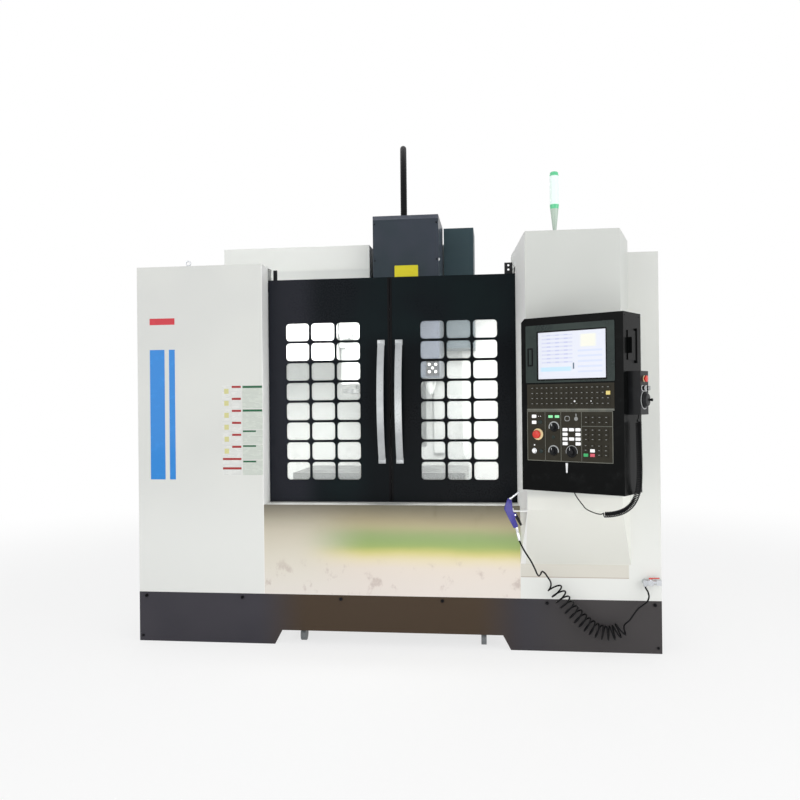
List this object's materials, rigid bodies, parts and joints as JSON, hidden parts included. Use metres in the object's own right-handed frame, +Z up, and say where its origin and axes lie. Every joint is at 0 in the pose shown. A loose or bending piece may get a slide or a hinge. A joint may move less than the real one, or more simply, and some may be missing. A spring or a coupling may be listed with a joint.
{
  "type": "cnc machining center",
  "caption": "Vertical machining centre: windowed sliding doors, swivelling pendant, XYZ slides, spindle, tool changer, coiled air hose.",
  "frame": {"origin": "on the floor, under the middle of the machine's bounding box, pendant included and hoses left out", "axes": "+X to the operator's right along the front, +Y from the front to the back, +Z up"},
  "size_m": [2.85, 3.0674, 3.2276],
  "materials": {
    "base_dark": "dark textured powder coat",
    "casting_green_grey": "satin machine paint",
    "casting_light": "satin machine paint",
    "dark_steel": "black oxide",
    "tank_grey": "semi gloss",
    "motor_black": "satin",
    "panel_grey": "fine textured powder coat",
    "panel_white": "gloss white coat",
    "stainless": "stained stainless sheet",
    "rail_black": "satin",
    "tower_grey": "fine textured powder coat",
    "lamp_glass": "lit translucent tube",
    "head_slate": "satin slate paint",
    "chromed": "polished",
    "machined_iron": "ground",
    "cover_steel": "brushed",
    "machined_steel": "ground",
    "black_rubber": "smooth",
    "door_navy": "semi gloss",
    "pane_clear": "clear safety pane",
    "handle_silver": "satin anodised",
    "pendant_black": "gloss",
    "display_glow": "lit screen",
    "key_grey": "membrane",
    "red_plastic": "gloss",
    "knob_black": "satin",
    "white_plastic": "gloss",
    "blue_plastic": "gloss"
  },
  "bodies": {
    "frame": {"base_skirt": "base_dark", "bed": "casting_green_grey", "levelling_feet": "dark_steel", "coolant_tank": "tank_grey", "column": "casting_light", "axis_motors": "motor_black", "left_front_panel": "panel_grey", "right_front_panel": "panel_grey", "rear_enclosure": "panel_grey", "trough_panel": "stainless", "splash_walls": "panel_white", "door_rails": "rail_black", "control_tower": "tower_grey", "signal_lamp": "lamp_glass", "pendant_bracket": "dark_steel", "magazine_housing": "panel_white", "changer_gearbox": "casting_light", "cabinet_shell": "panel_grey", "service_box": "head_slate", "air_valve": "chromed", "air_gun": "blue_plastic", "hose_ends": "black_rubber", "hose_coil": "black_rubber"},
    "left_door": {"left_door": "door_navy", "left_panes": "pane_clear", "left_handle": "handle_silver"},
    "right_door": {"right_door": "door_navy", "right_panes": "pane_clear", "right_handle": "handle_silver"},
    "saddle": {"saddle": "casting_green_grey", "rear_way_cover": "cover_steel"},
    "table": {"table": "machined_iron"},
    "front_way_cover": {"front_way_cover": "cover_steel"},
    "screw_x": {"screw_x": "machined_steel"},
    "screw_y": {"screw_y": "machined_steel"},
    "screw_z": {"screw_z": "machined_steel"},
    "head": {"head_casting": "casting_light", "head_cover": "head_slate", "spindle_motor": "motor_black", "cable_conduit": "black_rubber"},
    "spindle": {"spindle": "machined_steel"},
    "magazine": {"magazine_disc": "machined_iron"},
    "changer_arm": {"changer_arm": "machined_iron"},
    "pendant": {"pendant_casing": "pendant_black", "display": "display_glow", "control_keys": "key_grey", "mpg_body": "knob_black", "mpg_cord": "black_rubber"},
    "estop_button": {"estop_button": "red_plastic"},
    "mode_knob": {"mode_knob": "knob_black"},
    "feed_knob": {"feed_knob": "knob_black"},
    "rapid_knob": {"rapid_knob": "knob_black"},
    "power_button": {"power_button": "white_plastic"},
    "pendant_hatch": {"pendant_hatch": "pendant_black"},
    "mpg_wheel": {"mpg_wheel": "knob_black"},
    "mpg_estop": {"mpg_estop": "red_plastic"},
    "gun_trigger": {"gun_trigger": "knob_black"},
    "valve_lever": {"valve_lever": "red_plastic"},
    "cabinet_door": {"cabinet_door": "panel_grey"},
    "main_switch": {"main_switch": "red_plastic"}
  },
  "joints": [
    {"name": "left_door_slide", "type": "slide", "parent": "frame", "child": "left_door", "axis": [-1, 0, 0], "range_m": [0, 0.6]},
    {"name": "right_door_slide", "type": "slide", "parent": "frame", "child": "right_door", "axis": [1, 0, 0], "range_m": [0, 0.6]},
    {"name": "saddle_slide", "type": "slide", "parent": "frame", "child": "saddle", "axis": [0, 1, 0], "range_m": [-0.3, 0.3]},
    {"name": "table_slide", "type": "slide", "parent": "saddle", "child": "table", "axis": [1, 0, 0], "range_m": [-0.382, 0.718]},
    {"name": "front_cover_slide", "type": "slide", "parent": "frame", "child": "front_way_cover", "axis": [0, 1, 0], "range_m": [-0.165, 0.165]},
    {"name": "head_slide", "type": "slide", "parent": "frame", "child": "head", "axis": [0, 0, 1], "range_m": [-0.42, 0.18]},
    {"name": "screw_x_spin", "type": "hinge", "parent": "saddle", "child": "screw_x", "pos_m": [0, 0.24368, 0.66], "axis": [1, 0, 0], "continuous": true},
    {"name": "screw_y_spin", "type": "hinge", "parent": "frame", "child": "screw_y", "pos_m": [0, 0.24368, 0.44], "axis": [0, 1, 0], "continuous": true},
    {"name": "screw_z_spin", "type": "hinge", "parent": "frame", "child": "screw_z", "pos_m": [0, 0.90368, 1.7], "axis": [0, 0, 1], "continuous": true},
    {"name": "spindle_spin", "type": "hinge", "parent": "head", "child": "spindle", "pos_m": [0, 0.24368, 1.43], "axis": [0, 0, 1], "continuous": true},
    {"name": "magazine_spin", "type": "hinge", "parent": "frame", "child": "magazine", "pos_m": [-0.945, 0.55168, 1.99], "axis": [1, 0, 0], "continuous": true},
    {"name": "changer_swing", "type": "hinge", "parent": "frame", "child": "changer_arm", "pos_m": [-0.35, 0.39768, 1.4], "axis": [0, 0, 1], "range_deg": [0, 246]},
    {"name": "pendant_swivel", "type": "hinge", "parent": "frame", "child": "pendant", "pos_m": [1.01999, -1.19631, 1.3], "axis": [0, 0, 1], "range_deg": [0, 64]},
    {"name": "estop_press", "type": "slide", "parent": "pendant", "child": "estop_button", "axis": [0.5314, 0.8471, 0], "range_m": [0, 0.004], "stiffness_N_per_m": 1500},
    {"name": "power_press", "type": "slide", "parent": "pendant", "child": "power_button", "axis": [0.5314, 0.8471, 0], "range_m": [0, 0.003], "stiffness_N_per_m": 800},
    {"name": "mode_turn", "type": "hinge", "parent": "pendant", "child": "mode_knob", "pos_m": [0.91421, -1.4056, 1.093], "axis": [0.5314, 0.8471, 0], "range_deg": [-120, 120]},
    {"name": "feed_turn", "type": "hinge", "parent": "pendant", "child": "feed_knob", "pos_m": [0.83966, -1.35883, 1.203], "axis": [0.5314, 0.8471, 0], "range_deg": [-135, 135]},
    {"name": "rapid_turn", "type": "hinge", "parent": "pendant", "child": "rapid_knob", "pos_m": [0.83712, -1.35724, 1.094], "axis": [0.5314, 0.8471, 0], "range_deg": [-60, 60]},
    {"name": "hatch_swing", "type": "hinge", "parent": "pendant", "child": "pendant_hatch", "pos_m": [1.20165, -1.42536, 1.564], "axis": [0, 0, 1], "range_deg": [0, 110]},
    {"name": "mpg_wheel_spin", "type": "hinge", "parent": "pendant", "child": "mpg_wheel", "pos_m": [1.22221, -1.48666, 1.324], "axis": [0.8471, -0.5314, 0], "continuous": true},
    {"name": "mpg_estop_press", "type": "slide", "parent": "pendant", "child": "mpg_estop", "axis": [-0.8471, 0.5314, 0], "range_m": [0, 0.004], "stiffness_N_per_m": 800},
    {"name": "trigger_squeeze", "type": "hinge", "parent": "frame", "child": "gun_trigger", "pos_m": [0.668, -1.06632, 0.762], "axis": [0, 1, 0], "range_deg": [0, 7], "stiffness_Nm_per_rad": 1.5},
    {"name": "valve_turn", "type": "hinge", "parent": "frame", "child": "valve_lever", "pos_m": [1.363, -0.79632, 0.398], "axis": [0, 0, 1], "range_deg": [-90, 0]},
    {"name": "cabinet_door_swing", "type": "hinge", "parent": "frame", "child": "cabinet_door", "pos_m": [1.406, 1.47368, 1.15], "axis": [0, 0, -1], "range_deg": [0, 120]},
    {"name": "main_switch_turn", "type": "hinge", "parent": "cabinet_door", "child": "main_switch", "pos_m": [0.68, 1.48368, 1.5], "axis": [0, 1, 0], "range_deg": [0, 90]}
  ],
  "couplings": [
    {"joint": "front_cover_slide", "follows": "saddle_slide", "ratio": 0.55},
    {"joint": "screw_x_spin", "follows": "table_slide", "rad_per_m": 392.7},
    {"joint": "screw_y_spin", "follows": "saddle_slide", "rad_per_m": 392.7},
    {"joint": "screw_z_spin", "follows": "head_slide", "rad_per_m": 392.7}
  ]
}
